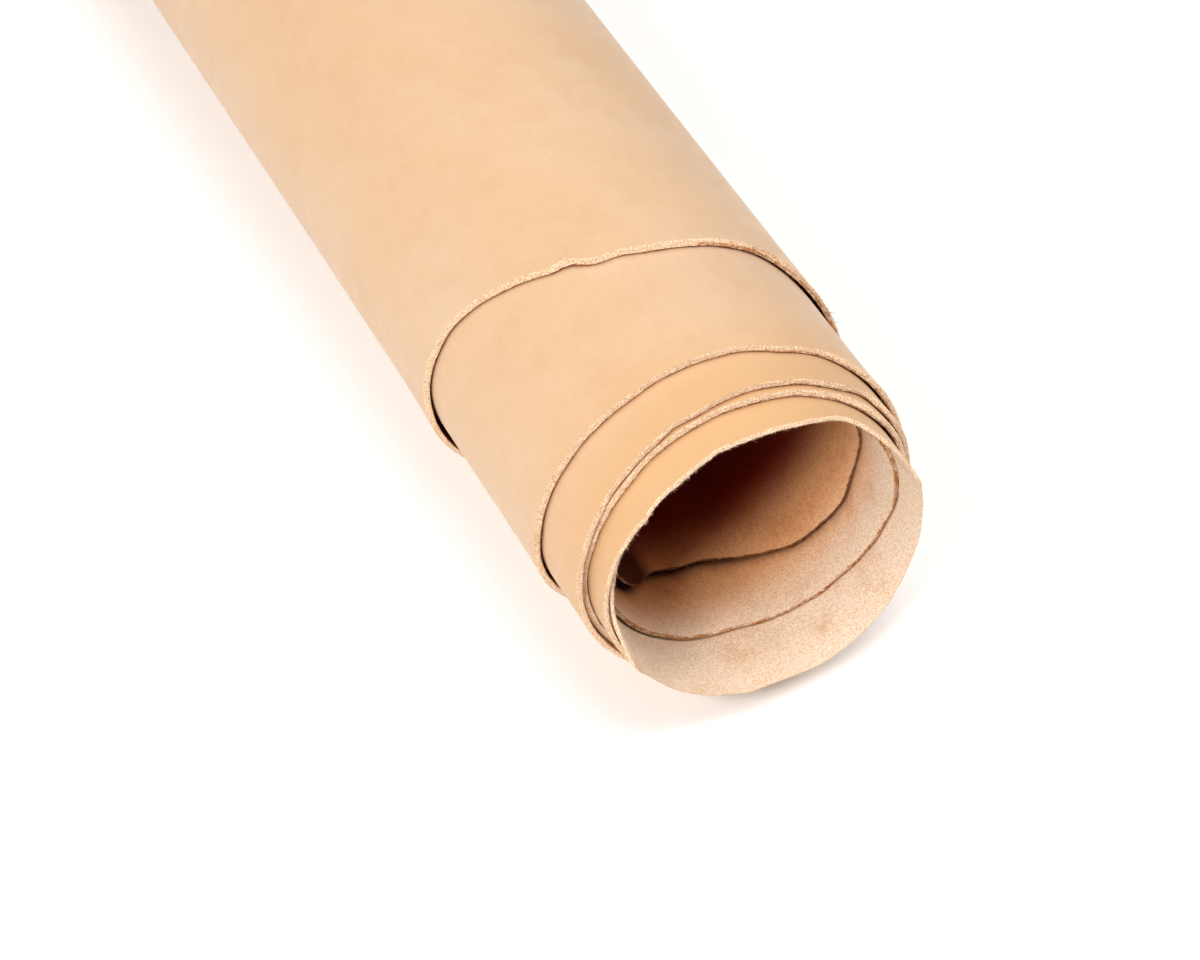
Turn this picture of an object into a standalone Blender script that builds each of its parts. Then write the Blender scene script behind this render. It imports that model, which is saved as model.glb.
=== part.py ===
"""A side of vegetable-tanned leather, rolled up grain side out and lying on a flat surface.

The hide is one sheet wound as a loose spiral about a level axis along Y. The near end of the roll,
at -Y, is the uneven belly edge, so its turns end in steps. The far end, at +Y, is the straight cut
along the backbone. The origin is the middle of the underside. Lengths are in metres.
"""

import bpy
import numpy as np

MM = 0.001

LEATHER_THICKNESS = 1.8 * MM
ROLL_LENGTH = 860 * MM
OUTER_END_TURN = -0.35
INNER_END_TURN = 7.275
STEPS_PER_TURN = 40

# The underside is pressed flat by the roll's own weight, by this much in every turn.
PRESSED_FLAT = 0.95 * MM

# Least sine of the angle below the axis that the flat is worked out for: nearer level it has no effect.
STEEPEST = 0.1

# The rim of the mouth springs outwards to both sides, over this distance from its front plane.
MOUTH_FLARE = 2.6 * MM
FLARE_DEPTH = 30 * MM
RIM_STRIP = 1 * MM

# Distance of the grain side from the roll's axis, in mm, at four places round each turn.
# Turns are counted inwards, and run from the left over the top to the right and the bottom.
COLUMNS = ("turn", "left", "top", "right", "bottom")
WINDING = (
    (-1, 62.6, 58.8, 61.4, 59.6),
    (0, 60.0, 56.5, 58.9, 57.3),
    (1, 57.5, 54.3, 56.2, 55.1),
    (2, 55.2, 52.1, 54.1, 52.9),
    (3, 53.0, 49.9, 52.0, 50.7),
    (4, 50.9, 47.7, 49.9, 48.5),
    (5, 48.7, 45.5, 47.8, 46.3),
    (6, 46.0, 43.2, 45.0, 42.2),
    (7, 41.5, 40.8, 42.2, 40.0),
)

# How far the belly edge lies behind the front plane of the mouth, in mm, at the same places.
BELLY_EDGE = (
    (-1, 150, 150, 140, 128),
    (0, 129, 101, 80, 66),
    (1, 57, 54, 38, 32),
    (2, 34, 39, 31, 33),
    (3, 35, 37, 29, 26),
    (4, 24, 25, 17, 12.5),
    (5, 24, 34, 27.5, 33.7),
    (6, 38, 42, 46.5, 60.5),
    (7, 56, 60, 60, 60),
)

# Short tongues and hollows of the belly edge: turn, half width in turns, reach towards the mouth in mm.
EDGE_TONGUES = (
    (0.10, 0.06, -3),
    (0.36, 0.08, -6),
    (1.37, 0.05, -2),
    (2.39, 0.03, -3),
    (4.35, 0.05, -4),
    (4.462, 0.012, 1.5),
    (4.89, 0.05, 2),
    (4.945, 0.027, 7),
    (6.575, 0.035, 2.5),
    (6.645, 0.065, 7),
    (6.87, 0.035, 7),
)

LEATHER_COLOUR = (0.80, 0.56, 0.36, 1.0)
LEATHER_ROUGHNESS = 0.55
SHARP_EDGE_ANGLE = np.radians(40)


def round_the_turns(table, turn):
    """Value of a table at any turn: a smooth curve (Catmull-Rom) through its quarter turns."""
    values = np.array([row[1:] for row in table], float).ravel()
    place = (turn - table[0][0]) * (len(COLUMNS) - 1)
    start = np.clip(np.floor(place).astype(int), 1, len(values) - 3)
    share = place - start
    before, here, there, after = (values[start + step] for step in (-1, 0, 1, 2))
    slope = there - before
    bend = 2 * before - 5 * here + 4 * there - after
    twist = 3 * here - before - 3 * there + after
    return here + 0.5 * (slope * share + bend * share**2 + twist * share**3)


def belly_edge(turn):
    """Distance of the cut edge behind the front plane, with its tongues as smooth humps."""
    edge = round_the_turns(BELLY_EDGE, turn)
    for middle, half_width, reach in EDGE_TONGUES:
        edge = edge - reach * np.exp(-(((turn - middle) / half_width) ** 2))
    return edge * MM


def grain_side(turn, depth):
    """Points of the outer face: polar about the axis, flattened below and flared at the mouth."""
    angle = np.pi * (1 - 2 * turn)
    across, up = np.cos(angle), np.sin(angle)
    radius = round_the_turns(WINDING, turn) * MM
    bottom = COLUMNS.index("bottom")
    below = np.array([row[bottom] for row in WINDING])[np.round(turn + 0.25).astype(int)] * MM
    level = (below - PRESSED_FLAT) / np.maximum(-up, STEEPEST)
    radius = np.minimum(radius, np.where(up < 0, level, radius))
    radius = radius + MOUTH_FLARE * np.clip(1 - depth / FLARE_DEPTH, 0, 1) * across**2
    return np.stack([radius * across, depth, radius * up], axis=-1)


def wound_sheet():
    """Grid of grain-side points: a column at each step of the winding, a row at each place along it."""
    first = round(OUTER_END_TURN * STEPS_PER_TURN)
    last = round(INNER_END_TURN * STEPS_PER_TURN)
    turn = np.arange(first, last + 1) / STEPS_PER_TURN
    edge = belly_edge(turn)
    rows = [edge, np.maximum(edge + RIM_STRIP, FLARE_DEPTH), np.full_like(edge, ROLL_LENGTH)]
    return np.stack([grain_side(turn, depth) for depth in rows], axis=1)


def centred(points):
    """The same points with the middle of the box's underside at the origin."""
    low = points.reshape(-1, 3).min(axis=0)
    high = points.reshape(-1, 3).max(axis=0)
    return points - np.array([(low[0] + high[0]) / 2, (low[1] + high[1]) / 2, low[2]])


def grid_mesh(name, points):
    """Mesh of a grid of points, with its faces turned outwards."""
    columns, rows = points.shape[:2]
    index = np.arange(columns * rows).reshape(columns, rows)
    corners = [index[:-1, :-1], index[1:, :-1], index[1:, 1:], index[:-1, 1:]]
    faces = np.stack(corners, axis=-1).reshape(-1, 4)
    mesh = bpy.data.meshes.new(name)
    mesh.from_pydata(points.reshape(-1, 3).tolist(), [], faces.tolist())
    mesh.update()
    return mesh


def leather():
    """Undyed vegetable-tanned leather."""
    material = bpy.data.materials.new("vegetable_tanned_leather")
    material.use_nodes = True
    shader = material.node_tree.nodes["Principled BSDF"]
    shader.inputs["Base Color"].default_value = LEATHER_COLOUR
    shader.inputs["Roughness"].default_value = LEATHER_ROUGHNESS
    shader.inputs["Metallic"].default_value = 0.0
    return material


def leather_side(collection):
    """The wound hide: its grain side, thickened inwards to the flesh side."""
    mesh = grid_mesh("leather_side", centred(wound_sheet()))
    mesh.materials.append(leather())
    mesh.shade_smooth()
    mesh.set_sharp_from_angle(angle=SHARP_EDGE_ANGLE)
    hide = bpy.data.objects.new("leather_side", mesh)
    collection.objects.link(hide)
    wall = hide.modifiers.new("thickness", "SOLIDIFY")
    wall.thickness = LEATHER_THICKNESS
    wall.offset = -1
    wall.use_even_offset = True
    return hide


def main():
    for old in list(bpy.data.objects):
        bpy.data.objects.remove(old, do_unlink=True)
    collection = bpy.data.collections.new("leather_side_roll")
    bpy.context.scene.collection.children.link(collection)
    leather_side(collection)


main()
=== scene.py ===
import bpy
import numpy as np
from mathutils import Euler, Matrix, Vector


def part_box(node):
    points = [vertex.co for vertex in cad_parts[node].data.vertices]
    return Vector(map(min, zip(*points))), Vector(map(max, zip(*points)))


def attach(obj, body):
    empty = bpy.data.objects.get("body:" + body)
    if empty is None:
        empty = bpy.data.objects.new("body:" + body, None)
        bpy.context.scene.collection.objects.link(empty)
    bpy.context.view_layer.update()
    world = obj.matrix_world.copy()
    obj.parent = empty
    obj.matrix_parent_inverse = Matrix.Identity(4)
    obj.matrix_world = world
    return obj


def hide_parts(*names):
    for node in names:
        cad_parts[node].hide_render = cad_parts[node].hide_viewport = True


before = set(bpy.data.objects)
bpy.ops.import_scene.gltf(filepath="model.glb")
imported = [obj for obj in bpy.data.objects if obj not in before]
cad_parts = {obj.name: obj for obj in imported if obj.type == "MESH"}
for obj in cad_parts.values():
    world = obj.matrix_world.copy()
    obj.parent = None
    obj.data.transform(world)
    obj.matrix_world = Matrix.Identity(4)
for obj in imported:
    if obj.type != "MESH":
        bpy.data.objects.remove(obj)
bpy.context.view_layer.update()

bl_info = {
    "name": "Rolled Leather Side",
    "version": (1, 0, 0),
    "blender": (4, 5, 0),
    "location": "View3D > Sidebar > Leather",
    "description": "Dresses a rolled side of vegetable-tanned leather and its studio stage",
    "category": "Add Mesh",
}

MM = 0.001

# Edges of the hide that are sharper than this stay crisp.
SHARP_EDGE_ANGLE = np.radians(50)

# The finishes of the leather, in the order in which each piece holds them.
FINISH_NAMES = ("grain_side", "flesh_side", "cut_edge", "torn_fibre")
GRAIN, FLESH, CUT, TORN = range(len(FINISH_NAMES))

# The winding, in the same numbers as the part's own source.
# Distance of the grain side from the roll's axis, in mm, at four places round each turn.
# Turns are counted inwards, and run from the left over the top to the right and the bottom.
COLUMNS = ("turn", "left", "top", "right", "bottom")
WINDING = (
    (-1, 62.6, 58.8, 61.4, 59.6),
    (0, 60.0, 56.5, 58.9, 57.3),
    (1, 57.5, 54.3, 56.2, 55.1),
    (2, 55.2, 52.1, 54.1, 52.9),
    (3, 53.0, 49.9, 52.0, 50.7),
    (4, 50.9, 47.7, 49.9, 48.5),
    (5, 48.7, 45.5, 47.8, 46.3),
    (6, 46.0, 43.2, 45.0, 42.2),
    (7, 41.5, 40.8, 42.2, 40.0),
)
# How far the belly edge lies behind the front plane of the mouth, in mm, at the same places.
BELLY_EDGE = (
    (-1, 150, 150, 140, 128),
    (0, 129, 101, 80, 66),
    (1, 57, 54, 38, 32),
    (2, 34, 39, 31, 33),
    (3, 35, 37, 29, 26),
    (4, 24, 25, 17, 12.5),
    (5, 24, 34, 27.5, 33.7),
    (6, 38, 42, 46.5, 60.5),
    (7, 56, 60, 60, 60),
)
# Short tongues and hollows of the belly edge: turn, half width in turns, reach towards the mouth in mm.
EDGE_TONGUES = (
    (0.10, 0.06, -3),
    (0.36, 0.08, -6),
    (1.37, 0.05, -2),
    (2.39, 0.03, -3),
    (4.35, 0.05, -4),
    (4.462, 0.012, 1.5),
    (4.89, 0.05, 2),
    (4.945, 0.027, 7),
    (6.575, 0.035, 2.5),
    (6.645, 0.065, 7),
    (6.87, 0.035, 7),
)
# Slips of the knife, too small for the part's own source: turn, half width in turns, reach in mm.
KNIFE_SLIPS = (
    (0.188, 0.008, -0.9),
    (0.210, 0.012, 1.3),
    (1.310, 0.010, 0.6),
    (2.180, 0.012, -0.6),
    (4.105, 0.010, 0.8),
    (4.200, 0.008, -0.6),
)
# Waves of the hand-cut edge, about 10 to 60 mm long: height in mm, radians in a turn, and shift.
KNIFE_WAVES = (
    (0.25, 36.1, 0.4),
    (0.14, 83.7, 1.9),
    (0.08, 151.3, 4.0),
)
OUTER_END_TURN = -0.35
INNER_END_TURN = 7.275
# The turns of the rim round the mouth, where the cut is clean. Inwards from there it is torn fibre alone.
MOUTH_RIM_TURNS = (3.95, 5.15)
# The bottom of each turn comes a quarter turn before the next one starts.
BOTTOM = COLUMNS.index("bottom")
QUARTER_TURN = 0.25
# Least sine of the angle below the axis that the flat is worked out for: nearer level it has no effect.
LEAST_SINE = 0.1
# Places on the winding at which its length is summed.
WINDING_STEPS = 4001
# Slow waves of the hide: their height in mm, and how far behind the mouth they reach it.
SLOW_WAVE_MM = 0.22
SLOW_WAVES_FULL_MM = 60
# Waves round the roll: share of the height, how many in a turn, mm along the roll in which they twist by a
# radian, and shift.
ROUND_WAVES = (
    (1.0, 2, 95, 0.7),
    (0.6, 3, -61, 2.0),
)
# The wave along the roll: share of the height, mm to a radian, and how far it bends round the roll.
ALONG_WAVE_SHARE = 0.5
ALONG_WAVE_MM = 43
ALONG_WAVE_TWIST = 1.3
# The underside of every turn is pressed flat by the roll's own weight, by this much.
PRESSED_FLAT_MM = 0.95
# The rim of the mouth springs outwards to both sides: by how much, and over what depth it fades.
MOUTH_FLARE_MM = 2.6
FLARE_REACH_MM = 18.0
# How far behind the edge the thinning of the belly fades.
THINNING_REACH_MM = 5.0
# The flat hide: its length in metres.
UNROLLED_LENGTH = 2.443

# Where the free edge of a turn stands out from the roll, or lies further in where the rise is negative: turn,
# half width in turns, rise and reach in mm.
EDGE_LIFTS = (
    (-0.08, 0.05, 1.0, 12),
    (0.190, 0.010, 0.5, 6),
    (0.43, 0.05, 0.3, 10),
    (0.95, 0.07, 0.5, 8),
    (1.43, 0.05, 0.8, 8),
    (2.44, 0.05, 0.6, 8),
    (3.44, 0.05, 0.5, 9),
    (4.42, 0.06, -0.6, 7),
    (4.96, 0.05, 0.45, 8),
    (5.65, 0.35, 0.25, 8),
    (6.47, 0.14, 0.8, 8),
    (6.80, 0.10, -0.4, 20),
)

# How much further the flesh side reaches than the grain side at the cut: turn and mm.
SLANT = (
    (-1, 1.2),
    (0, 1.2),
    (0.5, 1.1),
    (1, 0.6),
    (1.5, 0.6),
    (2.25, 0.3),
    (3, 0.5),
    (3.3, 0.7),
    (3.5, 1.0),
    (4, 0.4),
    (4.45, 0.9),
    (4.6, 1.9),
    (4.93, 2.2),
    (4.96, 1.4),
    (5.0, 0.5),
    (5.3, 0.6),
    (8, 0.6),
)

# Share of the thickness that is lost at the very edge, where the belly thins out: turn and share.
THINNING = (
    (3.6, 0.0),
    (3.93, 0.05),
    (4.02, 0.35),
    (4.25, 0.40),
    (4.5, 0.40),
    (4.9, 0.55),
    (5.0, 0.5),
    (5.2, 0.45),
    (5.4, 0.2),
    (6.0, 0.2),
    (6.2, 0.4),
    (8, 0.4),
)

# How crumbly the cut is along the winding: turn and share of the relief.
CRUMBLY = (
    (0.30, 1.0),
    (0.37, 2.4),
    (0.46, 2.4),
    (0.60, 1.0),
    (4.6, 1.0),
    (5.2, 1.6),
    (6.5, 1.6),
    (6.7, 2.2),
)
# Height of the crumb in mm: out of each row of the section, through the whole section, and into the leather.
CRUMB_ROW_MM = 0.10
CRUMB_TEAR_MM = 0.07
CRUMB_INWARD_MM = 0.03
# The crumb's noise: what the smoothed fine noise is divided by, steps of the mesh from knot to knot of the
# coarse noise, and the shares of the two.
CRUMB_SMOOTHING = 2.6
CRUMB_KNOT_STEPS = 5
CRUMB_FINE_SHARE = 0.6
CRUMB_COARSE_SHARE = 0.7

# Section of the raw edge. Each row: mm into the leather, share of the way from the grain corner to the flesh
# corner, mm that it stands proud of the cut, share of the crumb, and finish. The last rows close the loop
# inside.
EDGE_SECTION = (
    (0.06, 0.0, -0.70, 0.0, CUT),
    (0.02, 0.0, -0.04, 0.1, CUT),
    (0.16, 0.08, 0.05, 0.6, CUT),
    (0.50, 0.28, 0.08, 1.0, CUT),
    (0.90, 0.50, 0.10, 1.0, CUT),
    (1.34, 0.74, 0.09, 1.0, CUT),
    (1.64, 0.92, 0.05, 1.2, TORN),
    (1.84, 1.0, -0.04, 1.2, TORN),
    (1.87, 1.0, -0.40, 0.8, TORN),
    (1.74, 1.0, -0.95, 0.1, TORN),
    (0.90, 0.5, -0.90, 0.0, TORN),
)

# On the upper right of the outer turns more of the section is torn fibre, partly its own colour and partly
# painted shade on that side: middle and half width in turns, and the rows that it takes, each with the turn
# up to which it does.
TORN_RIGHT = (0.42, 0.12)
TORN_RIGHT_ROWS = (
    (5, MOUTH_RIM_TURNS[0]),
    (4, 1.0),
)

# Tufts of loose fibre: middle turn, half width in turns, how many, length in mm, how far they spread over the
# cut from its flesh corner and lean outwards, as a share, and finish.
TUFTS = (
    (1.80, 2.15, 1300, 0.5, 0.0, TORN),
    (3.50, 4.00, 1400, 0.5, 0.0, FLESH),
    (4.55, 0.60, 700, 0.6, 0.0, CUT),
    (0.39, 0.06, 260, 1.0, 1.0, CUT),
    (0.41, 0.06, 420, 0.9, 0.9, TORN),
    (1.42, 0.06, 100, 0.7, 0.5, TORN),
    (4.10, 0.16, 120, 0.6, 0.0, FLESH),
    (4.05, 0.04, 20, 0.95, 0.0, FLESH),
    (5.65, 0.32, 700, 0.7, 0.0, TORN),
    (6.65, 0.24, 700, 1.0, 0.0, TORN),
    (6.62, 0.12, 90, 1.7, 0.0, TORN),
    (6.80, 0.08, 60, 1.8, 0.0, TORN),
)
SEED = 41
# A fibre: unevenness of its length, mm that its root lies below the surface, least and most half width there,
# share of the width that is left at its middle, and how much it bends there.
FIBRE_LENGTH_SPREAD = 0.35
FIBRE_ROOT_MM = 0.3
FIBRE_WIDTHS_MM = (0.05, 0.09)
FIBRE_MIDDLE_WIDTH = 0.7
FIBRE_BEND = 0.45
# Where the fibres root: share of the slant, mm below the grain side, how far the spread ones move towards the
# grain side, scatter in mm, and the stretch in turns that is left free at both ends of the hide.
FIBRE_SLANT_SHARE = 0.9
FIBRE_INWARD_MM = 1.7
FIBRE_SPREAD_SHARE = 0.9
FIBRE_SCATTER_MM = 0.1
FIBRE_END_MARGIN = 0.01
# How the fibres lean: into the roll from least to most, outwards where they spread, and to both sides.
FIBRE_LEAN_IN = (-0.1, 0.7)
FIBRE_LEAN_OUT = 1.6
FIBRE_LEAN_SIDE = 0.6
# Directions of the three corners of a fibre's section.
FIBRE_CORNERS = np.radians([90, 210, 330])

# Next to the mouth the grain side is warmer, from none to full, in metres behind the mouth.
WARM_BY_MOUTH = (0.075, 0.035)
# Where painted shade turns the flesh side browner and then to its deep shade, in metres behind the mouth:
# start and full.
HALF_SHADE_FROM_MOUTH = (0.030, 0.054)
DEEP_FROM_MOUTH = (0.056, 0.079)
# Towards the far end the light comes in again and the painted shade fades: where each tone is gone, and up to
# where it is full.
HALF_SHADE_FROM_FAR_END = (0.850, 0.800)
DEEP_FROM_FAR_END = (0.835, 0.760)
# Painted shade on the end of the innermost turn, which lies out of the light, from this far along the hide,
# in metres: start and full.
TURNED_AWAY = (2.325, 2.334)
TURNED_AWAY_SHARE = 0.96
# Along the innermost turns painted shade darkens the torn fibre, in metres along the hide: start and full.
TORN_INNER = (2.12, 2.20)
TORN_INNER_SHARE = 0.6

# How strongly the rows of the hide's mesh crowd towards the mouth.
ROW_CROWDING = 5.5
# Where a turn begins to be covered by its neighbour's edge, in mm: the least step between rows of the mesh,
# and the rows before and after that edge. Then, for each side, where the shade starts and where it is full,
# from that edge, and the power by which it grows.
LEAST_ROW_STEP_MM = 0.05
COVER_ROWS = (-4.0, -2.4, -1.2, -0.2, 0.7, 1.8, 4.0)
GRAIN_COVER_SHADE = (-2.4, 0.7)
GRAIN_SHADE_POWER = 2.5
FLESH_COVER_SHADE = (-0.2, 1.8)
FLESH_SHADE_POWER = 1
# The shade of the innermost edges on the flesh side starts more softly: the turns over which this takes over,
# and the same values.
SOFT_SHADE_TURNS = (5.3, 5.6)
SOFT_SHADE = (-6.0, 1.6)
SOFT_SHADE_POWER = 3

# Places of the sockets for colours on the node that mixes.
MIX_SHARE, MIX_FIRST, MIX_SECOND = 0, 6, 7
MIX_COLOUR = 2

# The stage: half the floor's side and its drop below the roll, in metres, its colour, and the strength of the
# light from the surroundings.
FLOOR_HALF = 4.0
FLOOR_DROP = 0.3 * MM
FLOOR_COLOUR = (0.95, 0.95, 0.95, 1.0)
SURROUNDING_LIGHT = 0.10
# Soft lights, all turned to the mouth: name, size in metres, power in watts, and place in metres.
LIGHTS = (
    ("key", 0.8, 54, (-1.6, -1.35, 1.7)),
    ("top", 1.4, 30, (0.2, -0.7, 2.3)),
    ("fill_right", 1.6, 35, (1.7, -0.4, 1.7)),
    ("fill_left", 1.6, 15, (-1.9, 0.6, 1.2)),
)
# The camera: its place in mm from the middle of the mouth, degrees that it looks below level and that it is
# turned about the vertical, lens and sensor in mm, and the nearest and furthest that it sees in metres.
CAMERA_PLACE_MM = (-399.48, -668.67, 861.33)
CAMERA_DOWN = 46.217
CAMERA_TURN = -26.601
LENS_MM = 120
SENSOR_MM = 36
CLIPPED = (0.05, 50)


class LeatherHideSettings(bpy.types.PropertyGroup):
    """Sizes of the hide and the fineness of its surfaces."""

    thickness: bpy.props.FloatProperty(
        name="Thickness", description="Thickness of the leather",
        default=1.8 * MM, min=0.5 * MM, subtype="DISTANCE", unit="LENGTH", precision=4)
    width: bpy.props.FloatProperty(
        name="Width", description="From the front plane of the mouth to the straight cut",
        default=0.860, min=0.3, subtype="DISTANCE", unit="LENGTH")
    steps_per_turn: bpy.props.IntProperty(
        name="Steps per turn", description="Columns of the hide's mesh in each turn",
        default=120, min=24)
    rows: bpy.props.IntProperty(
        name="Rows", description="Rows of the hide's mesh from the mouth to the far end",
        default=34, min=8)
    edge_step: bpy.props.FloatProperty(
        name="Edge step", description="Length of one step of the raw edge's mesh",
        default=0.6 * MM, min=0.2 * MM, subtype="DISTANCE", unit="LENGTH", precision=4)


class LeatherFinishSettings(bpy.types.PropertyGroup):
    """Colours of the leather."""

    grain: bpy.props.FloatVectorProperty(
        name="Grain side", description="Smooth outer side",
        default=(0.57, 0.37, 0.215), size=3, min=0, max=1, subtype="COLOR")
    grain_pale: bpy.props.FloatVectorProperty(
        name="Grain side, pale", description="Paler and pinker patches of the grain side",
        default=(0.58, 0.40, 0.26), size=3, min=0, max=1, subtype="COLOR")
    grain_warm: bpy.props.FloatVectorProperty(
        name="Grain side, warm", description="Warmer tone of the grain side next to the mouth",
        default=(0.565, 0.335, 0.162), size=3, min=0, max=1, subtype="COLOR")
    grain_dark: bpy.props.FloatVectorProperty(
        name="Grain side, dark", description="Faint blotches and streaks of the grain side",
        default=(0.50, 0.295, 0.15), size=3, min=0, max=1, subtype="COLOR")
    grain_shade: bpy.props.FloatVectorProperty(
        name="Grain side, shade", description="Grain side where the turn outside covers it",
        default=(0.26, 0.06, 0.008), size=3, min=0, max=1, subtype="COLOR")
    flesh: bpy.props.FloatVectorProperty(
        name="Flesh side", description="Napped inner side",
        default=(0.86, 0.70, 0.55), size=3, min=0, max=1, subtype="COLOR")
    flesh_dark: bpy.props.FloatVectorProperty(
        name="Flesh side, dark", description="Darker fibres of the nap",
        default=(0.62, 0.33, 0.135), size=3, min=0, max=1, subtype="COLOR")
    # Painted half shade of the flesh side inside the roll, where less light reaches it.
    flesh_half_shade: bpy.props.FloatVectorProperty(
        name="Flesh side, inner", description="Browner flesh side of the inner turns",
        default=(0.80, 0.42, 0.20), size=3, min=0, max=1, subtype="COLOR")
    flesh_deep: bpy.props.FloatVectorProperty(
        name="Flesh side, deep", description="Warm shade of the flesh side far inside the roll",
        default=(0.30, 0.028, 0.008), size=3, min=0, max=1, subtype="COLOR")
    # Painted shade of the flesh side, under the edge of the turn inside and on the innermost turn's end.
    flesh_shade: bpy.props.FloatVectorProperty(
        name="Flesh side, shade", description="Flesh side where the turn inside covers it",
        default=(0.07, 0.006, 0.001), size=3, min=0, max=1, subtype="COLOR")
    cut: bpy.props.FloatVectorProperty(
        name="Cut edge", description="Pale raw edge",
        default=(0.87, 0.67, 0.47), size=3, min=0, max=1, subtype="COLOR")
    cut_dark: bpy.props.FloatVectorProperty(
        name="Cut edge, dark", description="Pits of the raw edge",
        default=(0.42, 0.18, 0.055), size=3, min=0, max=1, subtype="COLOR")
    # Orange-brown of the torn fibre: partly its own colour, partly painted shade of the dark line under each
    # rim.
    torn: bpy.props.FloatVectorProperty(
        name="Torn fibre", description="Orange-brown fibre at the flesh corner of the cut",
        default=(0.42, 0.15, 0.03), size=3, min=0, max=1, subtype="COLOR")
    # Painted shade of the torn fibre on the innermost turns.
    torn_deep_shade: bpy.props.FloatVectorProperty(
        name="Torn fibre, inner", description="Browner torn fibre of the innermost turns",
        default=(0.16, 0.045, 0.01), size=3, min=0, max=1, subtype="COLOR")


def around(table, turn):
    """Value of a table at any turn: a smooth cubic curve through its quarter turns. Its slope at each is half
    the step from the one before to the one after."""
    values = np.array([row[1:] for row in table], float).ravel()
    place = (turn - table[0][0]) * (len(COLUMNS) - 1)
    start = np.clip(np.floor(place).astype(int), 1, len(values) - 3)
    share = place - start
    before, here, there, after = (values[start + step] for step in (-1, 0, 1, 2))
    slope = there - before
    bend = 2 * before - 5 * here + 4 * there - after
    twist = 3 * here - before - 3 * there + after
    return here + 0.5 * (slope * share + bend * share**2 + twist * share**3)


def hump(turn, middle, half_width):
    """Bell curve about a place on the winding: e to minus the square of the distance in half widths."""
    return np.exp(-(((turn - middle) / half_width) ** 2))


def along_turns(table, turn):
    """Value at any turn from a table of turns and values: straight lines between its rows."""
    turns, values = np.array(table).T
    return np.interp(turn, turns, values)


def edge_slant(turn):
    """How much further the flesh side reaches at each turn, in mm."""
    return along_turns(SLANT, turn)


def thinned(turn, behind_edge):
    """Share of the full thickness: 1 less the loss at the edge, which fades exponentially behind it."""
    return 1 - along_turns(THINNING, turn) * np.exp(-behind_edge / THINNING_REACH_MM)


def knife_wander(turn):
    """Unevenness of the hand-cut edge in mm: a sum of sines of the turn, none in step with another."""
    return sum(height * np.sin(rate * turn + shift) for height, rate, shift in KNIFE_WAVES)


def belly_edge(turn):
    """Distance of the cut edge behind the front plane, in mm: the table's curve, less a hump for each tongue
    and slip, plus the knife's wander."""
    edge = around(BELLY_EDGE, turn)
    for middle, half_width, reach in EDGE_TONGUES + KNIFE_SLIPS:
        edge = edge - reach * hump(turn, middle, half_width)
    return edge + knife_wander(turn)


def slow_waves(angle, depth):
    """Slight hollows of the hide in mm, the same in every turn: sines round the roll that twist along it, and
    a sine along the roll that bends round it."""
    round_roll = sum(
        share * np.sin(count * angle + depth / reach + shift)
        for share, count, reach, shift in ROUND_WAVES
    )
    along_roll = ALONG_WAVE_SHARE * np.sin(depth / ALONG_WAVE_MM + ALONG_WAVE_TWIST * np.sin(angle))
    return SLOW_WAVE_MM * (round_roll + along_roll)


def wound(turn, depth, inward):
    """Points in mm at a turn, a depth behind the front plane and a distance inward of the grain side. They
    are polar about the axis: the radius is the winding's, pressed flat below, plus the mouth's flare, the
    lift of the free edges and the slow waves, less the distance inward."""
    angle = np.pi * (1 - 2 * turn)
    across, up = np.cos(angle), np.sin(angle)
    radius = around(WINDING, turn)
    below = np.array([row[BOTTOM] for row in WINDING])[np.round(turn + QUARTER_TURN).astype(int)]
    level = (below - PRESSED_FLAT_MM) / np.maximum(-up, LEAST_SINE)
    radius = np.minimum(radius, np.where(up < 0, level, radius))
    flare = MOUTH_FLARE_MM * np.exp(-((depth / FLARE_REACH_MM) ** 2)) * across**2
    waves = slow_waves(angle, depth) * np.clip(up + 1, 0, 1) * np.clip(depth / SLOW_WAVES_FULL_MM, 0, 1)
    behind_edge = np.maximum(depth - belly_edge(turn), 0)
    lift = sum(
        rise * hump(turn, middle, half_width) * np.exp(-behind_edge / reach)
        for middle, half_width, rise, reach in EDGE_LIFTS
    )
    radius = radius + flare + waves + lift - inward
    return np.stack(np.broadcast_arrays(radius * across, depth, radius * up), axis=-1)


def in_frame(points):
    """Points of the roll in mm, moved to the frame's place of its axis and its straight cut, in metres."""
    low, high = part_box("leather_side")
    sizes = bpy.context.scene.leather_hide
    left = around(WINDING, np.array([0.0]))[0] * MM
    underside = (WINDING[0][BOTTOM] - PRESSED_FLAT_MM) * MM
    return points * MM + np.array([low[0] + left, high[1] - sizes.width, low[2] + underside])


def make_piece(name, points, faces, face_finishes, materials, sheet_place, smooth=True):
    """Mesh object from an array of points, a list of faces and a finish per face. sheet_place keeps, for each
    point, its place on the unrolled hide: metres along it, metres behind the mouth, and metres inward."""
    mesh = bpy.data.meshes.new(name)
    mesh.from_pydata(points.tolist(), [], faces)
    for material in materials:
        mesh.materials.append(material)
    mesh.polygons.foreach_set("material_index", np.asarray(face_finishes, dtype=np.int32))
    mesh.polygons.foreach_set("use_smooth", np.full(len(faces), smooth))
    place = mesh.attributes.new("hide_place", "FLOAT_VECTOR", "POINT")
    place.data.foreach_set("vector", np.asarray(sheet_place, dtype=np.float32).ravel())
    mesh.update()
    piece = bpy.data.objects.new(name, mesh)
    bpy.context.scene.collection.objects.link(piece)
    return piece


def unrolled(turn):
    """Metres along the unrolled hide at each turn: the arc's length summed from the outer end."""
    fine = np.linspace(OUTER_END_TURN, INNER_END_TURN, WINDING_STEPS)
    radius = around(WINDING, fine)
    steps = 2 * np.pi * (radius[1:] + radius[:-1]) / 2 * np.diff(fine)
    along = np.concatenate([[0], np.cumsum(steps)]) * MM
    return np.interp(turn, fine, along)


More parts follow.
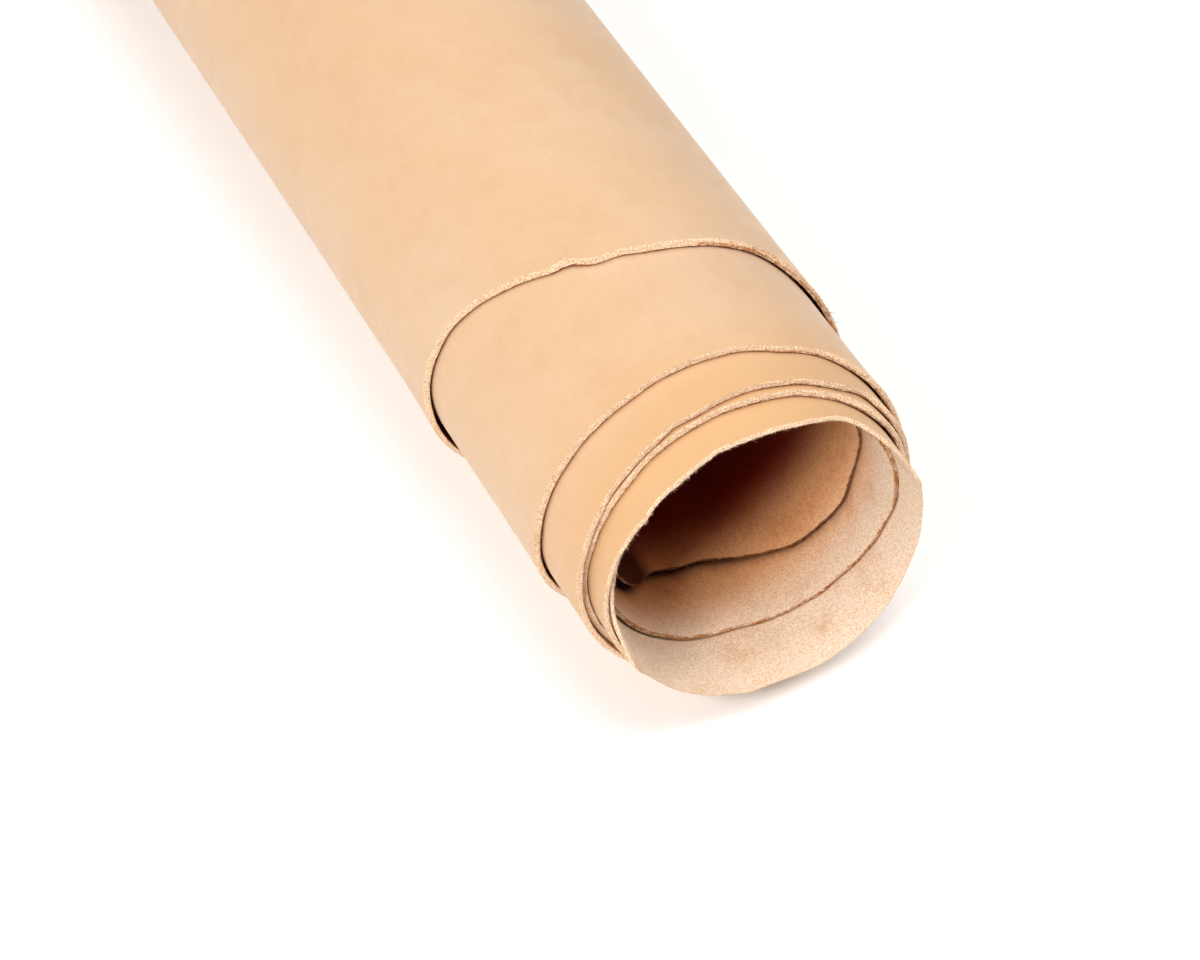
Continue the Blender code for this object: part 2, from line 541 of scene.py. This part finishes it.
def quads(index):
    """Faces of a grid of point numbers, facing out when the grid's first axis winds inwards."""
    corners = [index[:-1, :-1], index[1:, :-1], index[1:, 1:], index[:-1, 1:]]
    return np.stack(corners, axis=-1).reshape(-1, 4)


def rim_faces(edge, below):
    """Narrow faces between a border of the grain side and the flesh side's border below it. They face out of
    the sheet where the border is followed with the hide on its left, seen from outside."""
    return np.stack([edge[1:], edge[:-1], below[:-1], below[1:]], axis=-1)


def covering_edge(turn, way):
    """Depth in mm at which the neighbour turn, one inwards (+1) or outwards (-1), begins to cover this one,
    and whether there is such a neighbour. The outer neighbour covers with its flesh corner."""
    other = turn + way
    there = (other > OUTER_END_TURN) & (other < INNER_END_TURN)
    other = np.clip(other, OUTER_END_TURN, INNER_END_TURN)
    return belly_edge(other) - edge_slant(other) * (way < 0), there


def with_cover_rows(depth, cover):
    """The rows with a few more round the covering edge, each column sorted from the mouth to the far end."""
    step = np.arange(1, len(COVER_ROWS) + 1) * LEAST_ROW_STEP_MM
    more = np.clip(cover + np.array(COVER_ROWS), depth[:, :1] + step, depth[:, -1:] - step[::-1])
    return np.sort(np.concatenate([depth, more], axis=1), axis=1)


def covered(depth, cover, shade, power):
    """Share of the shade behind the neighbour's edge: it grows as a power of the distance, from the first of
    the shade's two distances to the second."""
    start, full = shade
    return np.clip((depth - cover - start) / (full - start), 0, 1) ** power


def grain_covered(turn, depth):
    """Share of the shade on the grain side, where the turn outside covers it."""
    cover, there = covering_edge(turn, -1)
    return covered(depth, cover, GRAIN_COVER_SHADE, GRAIN_SHADE_POWER) * there


def flesh_covered(turn, depth):
    """Share of the shade on the flesh side round the mouth, where the turn inside covers it."""
    cover, there = covering_edge(turn, 1)
    soft = np.interp(turn, SOFT_SHADE_TURNS, (0, 1))
    crisp_share = covered(depth, cover, FLESH_COVER_SHADE, FLESH_SHADE_POWER)
    soft_share = covered(depth, cover, SOFT_SHADE, SOFT_SHADE_POWER)
    share = crisp_share * (1 - soft) + soft_share * soft
    return share * (there & (turn > MOUTH_RIM_TURNS[0]))


def hide_grid():
    """The turn of each column, and the depths and shares of shade of the points of the grain side and of the
    flesh side. The rows crowd towards the mouth: their distance behind the edge grows as the exponential of
    the row's number, less 1."""
    sizes = bpy.context.scene.leather_hide
    columns = round((INNER_END_TURN - OUTER_END_TURN) * sizes.steps_per_turn) + 1
    turn = np.linspace(OUTER_END_TURN, INNER_END_TURN, columns)[:, None]
    spacing = np.linspace(0, 1, sizes.rows)[None, :]
    spacing = (np.exp(ROW_CROWDING * spacing) - 1) / (np.exp(ROW_CROWDING) - 1)
    far = sizes.width / MM
    edge = belly_edge(turn)
    flesh_edge = edge - edge_slant(turn)
    sides = []
    for start, way, shading in ((edge, -1, grain_covered), (flesh_edge, 1, flesh_covered)):
        cover, _ = covering_edge(turn, way)
        depth = with_cover_rows(start + (far - start) * spacing, cover)
        sides.append((depth, shading(turn, depth)))
    return turn, sides


def hide_mesh(materials):
    """Closed sheet: grain side, flesh side, and narrow faces that join them round the rim."""
    turn, ((depth, shade), (flesh_depth, flesh_shade)) = hide_grid()
    thickness = bpy.context.scene.leather_hide.thickness / MM
    outer = wound(turn, depth, 0.0)
    inner = wound(turn, flesh_depth, thickness * thinned(turn, flesh_depth - flesh_depth[:, :1]))
    columns, rows = depth.shape
    top = np.arange(columns * rows).reshape(columns, rows)
    under = top + columns * rows
    groups = (
        (quads(top), GRAIN),
        (quads(under)[:, ::-1], FLESH),
        (rim_faces(top[:, 0], under[:, 0]), CUT),
        (rim_faces(top[::-1, -1], under[::-1, -1]), CUT),
        (rim_faces(top[0, ::-1], under[0, ::-1]), CUT),
        (rim_faces(top[-1], under[-1]), CUT),
    )
    faces = np.concatenate([group for group, _ in groups]).tolist()
    finish = np.concatenate([np.full(len(group), index) for group, index in groups])
    points = in_frame(np.concatenate([outer.reshape(-1, 3), inner.reshape(-1, 3)]))
    along = np.broadcast_to(unrolled(turn), depth.shape)
    place = np.concatenate([
        np.stack([along, side * MM, np.full_like(side, inward * MM)], axis=-1).reshape(-1, 3)
        for side, inward in ((depth, 0.0), (flesh_depth, thickness))
    ])
    hide = make_piece("hide", points, faces, finish, materials, place)
    shades = hide.data.attributes.new("covered", "FLOAT", "POINT")
    shades.data.foreach_set("value", np.concatenate([shade.ravel(), flesh_shade.ravel()]).astype(np.float32))
    hide.data.set_sharp_from_angle(angle=SHARP_EDGE_ANGLE)
    return hide


def crumb(random, columns, rows):
    """Crumbly relief of torn fibre, about 1 high: fine noise smoothed over three columns, plus coarse noise
    that runs smoothly from knot to knot along the edge."""
    fine = random.normal(size=(columns, rows))
    fine = (np.roll(fine, 1, axis=0) + 2 * fine + np.roll(fine, -1, axis=0)) / CRUMB_SMOOTHING
    knots = random.normal(size=(columns // CRUMB_KNOT_STEPS + 2, rows))
    place = np.arange(columns) / CRUMB_KNOT_STEPS
    start = place.astype(int)
    blend = (place - start)[:, None]
    blend = blend * blend * (3 - 2 * blend)
    coarse = knots[start] * (1 - blend) + knots[start + 1] * blend
    return CRUMB_FINE_SHARE * fine + CRUMB_COARSE_SHARE * coarse


def section_finishes(turn, section_finish):
    """Finish of each face of the raw edge, a row of them for each turn: the section's own finishes with more
    torn fibre on the upper right, partly painted shade on that side, one clean cut round the mouth, and torn
    fibre alone inwards from there."""
    made = np.tile(section_finish.astype(int), (len(turn), 1))
    middle, half_width = TORN_RIGHT
    on_shaded_right = np.abs(turn % 1 - middle) < half_width
    for row, last_turn in TORN_RIGHT_ROWS:
        made[on_shaded_right & (turn < last_turn), row] = TORN
    first, last = MOUTH_RIM_TURNS
    made[(turn > first) & (turn < last)] = CUT
    made[turn > last] = TORN
    return made.ravel()


def raw_edge_mesh(materials):
    """The cut belly edge as a closed rim: a section table carried along the winding, roughened with crumb."""
    random = np.random.default_rng(SEED)
    into, across, proud, crumbly, finish = np.array(EDGE_SECTION).T
    columns = round(UNROLLED_LENGTH / bpy.context.scene.leather_hide.edge_step)
    rows = len(EDGE_SECTION)
    fine = np.linspace(OUTER_END_TURN, INNER_END_TURN, WINDING_STEPS)
    turn = np.interp(np.linspace(0, unrolled(INNER_END_TURN), columns), unrolled(fine), fine)[:, None]
    roughness = crumbly * along_turns(CRUMBLY, turn)
    relief = CRUMB_ROW_MM * crumb(random, columns, rows) * roughness
    tears = CRUMB_TEAR_MM * crumb(random, columns, 1) * roughness
    inward = into + CRUMB_INWARD_MM * crumb(random, columns, rows) * crumbly
    inward = inward * thinned(turn, 0)
    depth = belly_edge(turn) - edge_slant(turn) * across - proud - relief - tears
    points = in_frame(wound(turn, depth, inward)).reshape(-1, 3)
    index = np.arange(columns * rows).reshape(columns, rows)
    ring = np.concatenate([index, index[:, :1]], axis=1)
    faces = quads(ring)[:, ::-1].tolist()
    place = np.stack(np.broadcast_arrays(unrolled(turn), depth * MM, inward * MM), axis=-1).reshape(-1, 3)
    return make_piece("raw_edge", points, faces, section_finishes(turn[:-1, 0], finish), materials, place)


def unit(vectors):
    """The same vectors at length 1."""
    return vectors / np.linalg.norm(vectors, axis=1)[:, None]


def tuft_roots(random):
    """Turn, length, spread and finish of every loose fibre, drawn tuft by tuft: turns are spread evenly over
    the tuft, and a length is the tuft's times e to a normal number."""
    drawn = []
    for middle, half_width, count, size, share, index in TUFTS:
        drawn.append((
            random.uniform(middle - half_width, middle + half_width, count),
            size * random.lognormal(0, FIBRE_LENGTH_SPREAD, count),
            share * random.uniform(0, 1, count),
            np.full(count, index),
        ))
    turn, length, spread, finish = (np.concatenate(column) for column in zip(*drawn))
    turn = np.clip(turn, OUTER_END_TURN + FIBRE_END_MARGIN, INNER_END_TURN - FIBRE_END_MARGIN)
    return turn, length, spread, finish


def fibre_ways(random, turn, spread):
    """The roll's outward direction at each fibre, and the way in which the fibre runs: forward, plus random
    shares of the outward direction and of the direction round the roll."""
    angle = np.pi * (1 - 2 * turn)
    across, up, level = np.cos(angle), np.sin(angle), np.zeros(len(turn))
    outward = np.stack([across, level, up], axis=-1)
    around_roll = np.stack([-up, level, across], axis=-1)
    forward = np.array([0.0, -1.0, 0.0])
    lean_in = (random.uniform(*FIBRE_LEAN_IN, len(turn)) - FIBRE_LEAN_OUT * spread)[:, None]
    lean_side = random.normal(0, FIBRE_LEAN_SIDE, len(turn))[:, None]
    return outward, unit(forward - outward * lean_in + around_roll * lean_side)


def tuft_mesh(materials):
    """Loose fibres: three-sided hairs of two steps, which root on the cut, bend at their middle and taper to
    a point."""
    random = np.random.default_rng(SEED + 1)
    turn, length, spread, finish = tuft_roots(random)
    count = len(turn)
    length = length[:, None]
    depth = belly_edge(turn) - edge_slant(turn) * FIBRE_SLANT_SHARE * (1 - spread)
    inward = FIBRE_INWARD_MM * (1 - FIBRE_SPREAD_SHARE * spread)
    inward = inward + FIBRE_SCATTER_MM * random.normal(size=count)
    root = wound(turn, depth, inward * thinned(turn, 0))
    outward, way = fibre_ways(random, turn, spread)
    bend = random.normal(0, FIBRE_BEND, (count, 3))
    middle = root + way * length / 2
    tip = middle + (way + bend) * length / 2
    side = unit(np.cross(way, outward))
    other = np.cross(way, side)
    ring = side[:, None] * np.cos(FIBRE_CORNERS)[:, None] + other[:, None] * np.sin(FIBRE_CORNERS)[:, None]
    width = random.uniform(*FIBRE_WIDTHS_MM, count)[:, None, None]
    root_ring = (root - way * FIBRE_ROOT_MM)[:, None] + ring * width
    middle_ring = middle[:, None] + ring * width * FIBRE_MIDDLE_WIDTH
    points = np.concatenate([root_ring, middle_ring, tip[:, None]], axis=1)
    walls = np.array([[0, 1, 4, 3], [1, 2, 5, 4], [2, 0, 3, 5]])
    ends = np.array([[3, 4, 6], [4, 5, 6], [5, 3, 6], [2, 1, 0]])
    points_each = points.shape[1]
    start = (np.arange(count) * points_each)[:, None, None]
    faces = (walls + start).reshape(-1, 4).tolist() + (ends + start).reshape(-1, 3).tolist()
    finish = np.concatenate([np.repeat(finish, len(walls)), np.repeat(finish, len(ends))])
    thickness = bpy.context.scene.leather_hide.thickness
    place = np.stack([unrolled(turn), depth * MM, np.full(count, thickness)], axis=-1)
    place = np.repeat(place, points_each, axis=0)
    points = in_frame(points).reshape(-1, 3)
    return make_piece("loose_fibres", points, faces, finish, materials, place, smooth=False)


class Finish:
    """A Principled material built node by node."""

    def __init__(self, name, **constants):
        self.material = bpy.data.materials.new(name)
        self.material.use_nodes = True
        self.nodes = self.material.node_tree.nodes
        self.links = self.material.node_tree.links
        self.shader = self.nodes["Principled BSDF"]
        for socket, value in constants.items():
            self.shader.inputs[socket.replace("_", " ")].default_value = value

    def node(self, kind, **settings):
        """New node. Settings whose names match an input become its values, the rest its properties."""
        made = self.nodes.new(kind)
        for key, value in settings.items():
            socket = key.replace("_", " ")
            if socket in made.inputs:
                made.inputs[socket].default_value = value
            else:
                setattr(made, key, value)
        return made

    def place(self):
        """Place on the unrolled hide."""
        return self.attribute("hide_place").outputs["Vector"]

    def shade(self):
        """Share of the shade where a neighbour turn covers this one."""
        return self.attribute("covered").outputs["Fac"]

    def body(self):
        """Place in the object."""
        return self.node("ShaderNodeTexCoord").outputs["Object"]

    def noise(self, vector, scale, detail=4, roughness=0.55, stretch=(1, 1, 1)):
        """Noise with so many spots to the metre, stretched along the axes where stretch is below 1."""
        mapping = self.node("ShaderNodeMapping")
        mapping.inputs["Scale"].default_value = stretch
        self.links.new(vector, mapping.inputs["Vector"])
        noise = self.node("ShaderNodeTexNoise", Scale=scale, Detail=detail, Roughness=roughness)
        self.links.new(mapping.outputs["Vector"], noise.inputs["Vector"])
        return noise.outputs["Fac"]

    def attribute(self, name):
        """Attribute node of the mesh."""
        return self.node("ShaderNodeAttribute", attribute_name=name)

    def ramp(self, value, low, high, start=0.0, end=1.0):
        """Maps low..high to start..end, clamped and smooth."""
        ramp = self.node("ShaderNodeMapRange", interpolation_type="SMOOTHSTEP")
        for socket, number in (("From Min", low), ("From Max", high), ("To Min", start), ("To Max", end)):
            ramp.inputs[socket].default_value = number
        self.links.new(value, ramp.inputs["Value"])
        return ramp.outputs["Result"]

    def mix(self, share, first, second, blend="MIX"):
        """Mix of two colours, each a setting, a triple or a link, by a share that is a link."""
        mix = self.node("ShaderNodeMix", data_type="RGBA", blend_type=blend)
        self.links.new(share, mix.inputs[MIX_SHARE])
        for value, socket in ((first, mix.inputs[MIX_FIRST]), (second, mix.inputs[MIX_SECOND])):
            if isinstance(value, bpy.types.NodeSocket):
                self.links.new(value, socket)
            else:
                socket.default_value = (*value, 1.0)
        return mix.outputs[MIX_COLOUR]

    def parts(self, vector):
        """The first two parts of a vector."""
        apart = self.node("ShaderNodeSeparateXYZ")
        self.links.new(vector, apart.inputs["Vector"])
        return apart.outputs["X"], apart.outputs["Y"]

    def product(self, first, second):
        """Product of two links."""
        product = self.node("ShaderNodeMath", operation="MULTIPLY")
        self.links.new(first, product.inputs[0])
        self.links.new(second, product.inputs[1])
        return product.outputs[0]

    def between(self, value, rise, fall):
        """Share that rises over one stretch of a value and falls over another: the product of two ramps."""
        return self.product(self.ramp(value, *rise), self.ramp(value, *fall))

    def colour(self, link):
        """Colours the shader with a link."""
        self.links.new(link, self.shader.inputs["Base Color"])

    def rough(self, link):
        """Roughens the shader by a link."""
        self.links.new(link, self.shader.inputs["Roughness"])

    def bump(self, heights):
        """Chain of bumps: (height link, strength, distance in metres)."""
        normal = None
        for height, strength, distance in heights:
            bump = self.node("ShaderNodeBump", Strength=strength, Distance=distance)
            self.links.new(height, bump.inputs["Height"])
            if normal is not None:
                self.links.new(normal, bump.inputs["Normal"])
            normal = bump.outputs["Normal"]
        self.links.new(normal, self.shader.inputs["Normal"])


def grain_finish():
    """Smooth satin grain: slow patches of tone, a warmer band by the mouth, faint streaks and pores."""
    colours = bpy.context.scene.leather_finish
    finish = Finish(
        "grain_side", Roughness=0.5, Specular_IOR_Level=0.35, Sheen_Weight=0.08, Sheen_Roughness=0.5)
    place = finish.place()
    patches = finish.ramp(finish.noise(place, scale=14, detail=3), low=0.38, high=0.68)
    tone = finish.mix(patches, colours.grain, colours.grain_pale)
    _, behind_mouth = finish.parts(place)
    by_mouth = finish.ramp(behind_mouth, *WARM_BY_MOUTH)
    tone = finish.mix(by_mouth, tone, colours.grain_warm)
    spots = finish.noise(place, scale=55, detail=6, roughness=0.65)
    tone = finish.mix(finish.ramp(spots, low=0.42, high=0.72, end=0.30), tone, colours.grain_dark)
    lines = finish.noise(place, scale=800, roughness=0.6, stretch=(1, 0.15, 1))
    tone = finish.mix(finish.ramp(lines, low=0.40, high=0.68, end=0.16), tone, colours.grain_dark)
    finish.colour(finish.mix(finish.shade(), tone, colours.grain_shade))
    finish.rough(finish.ramp(finish.noise(place, scale=120), low=0.3, high=0.7, start=0.46, end=0.58))
    pores = finish.noise(place, scale=1500, detail=3)
    creases = finish.noise(place, scale=240, roughness=0.5, stretch=(1, 0.5, 1))
    finish.bump(((creases, 0.10, 0.4 * MM), (pores, 0.08, 0.2 * MM)))
    return finish.material


def flesh_finish():
    """Napped suede: short fibres at random tones, brushed patches, a soft sheen and no gloss. Painted shade
    turns its tone browner and then deep with the distance behind the mouth, and dark where a turn covers it."""
    colours = bpy.context.scene.leather_finish
    finish = Finish(
        "flesh_side", Roughness=0.95, Specular_IOR_Level=0.05, Sheen_Weight=0.04, Sheen_Roughness=0.6)
    place = finish.place()
    along, behind_mouth = finish.parts(place)
    # Painted shade inside the roll: a browner half shade, then deep shade further in.
    inner = finish.between(behind_mouth, HALF_SHADE_FROM_MOUTH, HALF_SHADE_FROM_FAR_END)
    tone = finish.mix(inner, colours.flesh, colours.flesh_half_shade)
    deep = finish.between(behind_mouth, DEEP_FROM_MOUTH, DEEP_FROM_FAR_END)
    tone = finish.mix(deep, tone, colours.flesh_deep)
    fibre_tint = np.array(colours.flesh_dark) / np.array(colours.flesh)
    fibres = finish.noise(place, scale=2500, detail=6, roughness=0.75)
    tone = finish.mix(finish.ramp(fibres, low=0.44, high=0.60, end=0.75), tone, fibre_tint, "MULTIPLY")
    patches = finish.noise(place, scale=60, detail=5, roughness=0.65)
    tone = finish.mix(finish.ramp(patches, low=0.48, high=0.74, end=0.5), tone, fibre_tint, "MULTIPLY")
    # Painted shade on the end of the innermost turn.
    turned_away = finish.ramp(along, *TURNED_AWAY, end=TURNED_AWAY_SHARE)
    end_shade = finish.product(turned_away, finish.ramp(behind_mouth, *DEEP_FROM_FAR_END))
    tone = finish.mix(end_shade, tone, colours.flesh_shade)
    finish.colour(finish.mix(finish.shade(), tone, colours.flesh_shade))
    nap = finish.noise(place, scale=2200, detail=6, roughness=0.75)
    finish.bump(((finish.noise(place, scale=260), 0.2, 0.6 * MM), (nap, 0.8, 0.5 * MM)))
    return finish.material


def cut_finish():
    """Raw cut edge: pale matted fibre with darker pits."""
    colours = bpy.context.scene.leather_finish
    finish = Finish(
        "cut_edge", Roughness=0.95, Specular_IOR_Level=0.05, Sheen_Weight=0.05, Sheen_Roughness=0.6)
    body = finish.body()
    pits = finish.noise(body, scale=2500, detail=5, roughness=0.75)
    finish.colour(finish.mix(finish.ramp(pits, low=0.42, high=0.62, end=0.9), colours.cut, colours.cut_dark))
    finish.bump(((finish.noise(body, scale=1500, roughness=0.7), 0.7, 0.4 * MM),))
    return finish.material


def torn_finish():
    """Torn fibre of the cut: orange-brown with paler tips, partly its own colour and partly painted shade of
    the line under each rim, and darker with painted shade on the innermost turns.
    """
    colours = bpy.context.scene.leather_finish
    finish = Finish("torn_fibre", Roughness=0.95, Specular_IOR_Level=0.1)
    body = finish.body()
    tips = finish.noise(body, scale=900, roughness=0.7)
    tone = finish.mix(finish.ramp(tips, low=0.42, high=0.66, end=0.5), colours.torn, colours.flesh)
    # Painted shade on the torn fibre of the innermost turns.
    along, _ = finish.parts(finish.place())
    inner = finish.ramp(along, *TORN_INNER, end=TORN_INNER_SHARE)
    finish.colour(finish.mix(inner, tone, colours.torn_deep_shade))
    finish.bump(((finish.noise(body, scale=1500, roughness=0.7), 0.6, 0.4 * MM),))
    return finish.material


def finishes():
    """The finishes of the hide, made once."""
    made = [bpy.data.materials.get(name) for name in FINISH_NAMES]
    return made if all(made) else [grain_finish(), flesh_finish(), cut_finish(), torn_finish()]


def dress(piece):
    """The piece rides on the roll."""
    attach(piece, "root")


class LEATHER_OT_hide(bpy.types.Operator):
    """Winds the hide: one sheet with a smooth grain side out and a napped flesh side in"""

    bl_idname = "leather.hide"
    bl_label = "Wound hide"

    def execute(self, context):
        hide = hide_mesh(finishes())
        dress(hide)
        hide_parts("leather_side")
        return {"FINISHED"}


class LEATHER_OT_raw_edge(bpy.types.Operator):
    """Finishes the cut belly edge with a slanted, crumbly rim"""

    bl_idname = "leather.raw_edge"
    bl_label = "Raw edge"

    def execute(self, context):
        dress(raw_edge_mesh(finishes()))
        return {"FINISHED"}


class LEATHER_OT_loose_fibres(bpy.types.Operator):
    bl_idname = "leather.loose_fibres"
    bl_label = "Loose fibres"

    def execute(self, context):
        fibres = tuft_mesh(finishes())
        dress(fibres)
        return {"FINISHED"}


def area_light(name, size, power, place, target):
    """Square soft light at a place, turned towards a target: its own -Z axis points along the way there."""
    light = bpy.data.lights.new(name, "AREA")
    light.size = size
    light.energy = power
    lamp = bpy.data.objects.new(name, light)
    lamp.location = place
    way = np.array(target) - np.array(place)
    turned = np.arctan2(way[0], -way[1])
    tilt = np.arctan2(np.hypot(way[0], way[1]), -way[2])
    lamp.rotation_euler = Euler((tilt, 0, turned + np.pi))
    bpy.context.scene.collection.objects.link(lamp)


def pale_floor():
    """Square floor just below the roll."""
    corners = [(-FLOOR_HALF, -FLOOR_HALF, 0), (FLOOR_HALF, -FLOOR_HALF, 0)]
    corners += [(FLOOR_HALF, FLOOR_HALF, 0), (-FLOOR_HALF, FLOOR_HALF, 0)]
    mesh = bpy.data.meshes.new("floor")
    mesh.from_pydata(corners, [], [(0, 1, 2, 3)])
    paint = Finish("pale_floor", Roughness=0.9, Specular_IOR_Level=0.1, Base_Color=FLOOR_COLOUR)
    mesh.materials.append(paint.material)
    floor = bpy.data.objects.new("floor", mesh)
    floor.location.z = -FLOOR_DROP
    bpy.context.scene.collection.objects.link(floor)


def studio_world():
    """White surroundings that give a little light from everywhere."""
    world = bpy.data.worlds.new("studio")
    world.use_nodes = True
    background = world.node_tree.nodes["Background"]
    background.inputs["Color"].default_value = (1, 1, 1, 1)
    background.inputs["Strength"].default_value = SURROUNDING_LIGHT
    bpy.context.scene.world = world


def studio_camera():
    """Camera that looks down at the mouth from the front left, with a long lens."""
    data = bpy.data.cameras.new("camera")
    data.lens = LENS_MM
    data.sensor_width = SENSOR_MM
    data.clip_start, data.clip_end = CLIPPED
    camera = bpy.data.objects.new("camera", data)
    camera.location = tuple(in_frame(np.array(CAMERA_PLACE_MM)))
    camera.rotation_euler = Euler(np.radians((90 - CAMERA_DOWN, 0, CAMERA_TURN)))
    bpy.context.scene.collection.objects.link(camera)
    bpy.context.scene.camera = camera


class LEATHER_OT_stage(bpy.types.Operator):
    """Lays the pale floor, sets the soft studio lights and places the camera"""

    bl_idname = "leather.stage"
    bl_label = "Studio stage"

    def execute(self, context):
        pale_floor()
        studio_world()
        mouth = tuple(in_frame(np.zeros(3)))
        for name, size, power, place in LIGHTS:
            area_light(name, size, power, place, mouth)
        studio_camera()
        context.scene.view_settings.view_transform = "Standard"
        return {"FINISHED"}


class LEATHER_PT_panel(bpy.types.Panel):
    """Lists the sizes, the colours and the steps"""

    bl_label = "Leather side"
    bl_idname = "LEATHER_PT_panel"
    bl_space_type = "VIEW_3D"
    bl_region_type = "UI"
    bl_category = "Leather"

    def draw(self, context):
        for group in (context.scene.leather_hide, context.scene.leather_finish):
            for name in group.__annotations__:
                self.layout.prop(group, name)
        for step in STEPS:
            self.layout.operator(step.bl_idname)


STEPS = (LEATHER_OT_stage, LEATHER_OT_hide, LEATHER_OT_raw_edge, LEATHER_OT_loose_fibres)
CLASSES = (LeatherHideSettings, LeatherFinishSettings, *STEPS, LEATHER_PT_panel)


def register():
    for made in CLASSES:
        bpy.utils.register_class(made)
    bpy.types.Scene.leather_hide = bpy.props.PointerProperty(type=LeatherHideSettings)
    bpy.types.Scene.leather_finish = bpy.props.PointerProperty(type=LeatherFinishSettings)


def unregister():
    del bpy.types.Scene.leather_finish
    del bpy.types.Scene.leather_hide
    for made in reversed(CLASSES):
        bpy.utils.unregister_class(made)


def main():
    """Lays the stage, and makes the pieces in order."""
    register()
    bpy.ops.leather.stage()
    bpy.ops.leather.hide()
    bpy.ops.leather.raw_edge()
    bpy.ops.leather.loose_fibres()


if __name__ == "__main__":
    main()
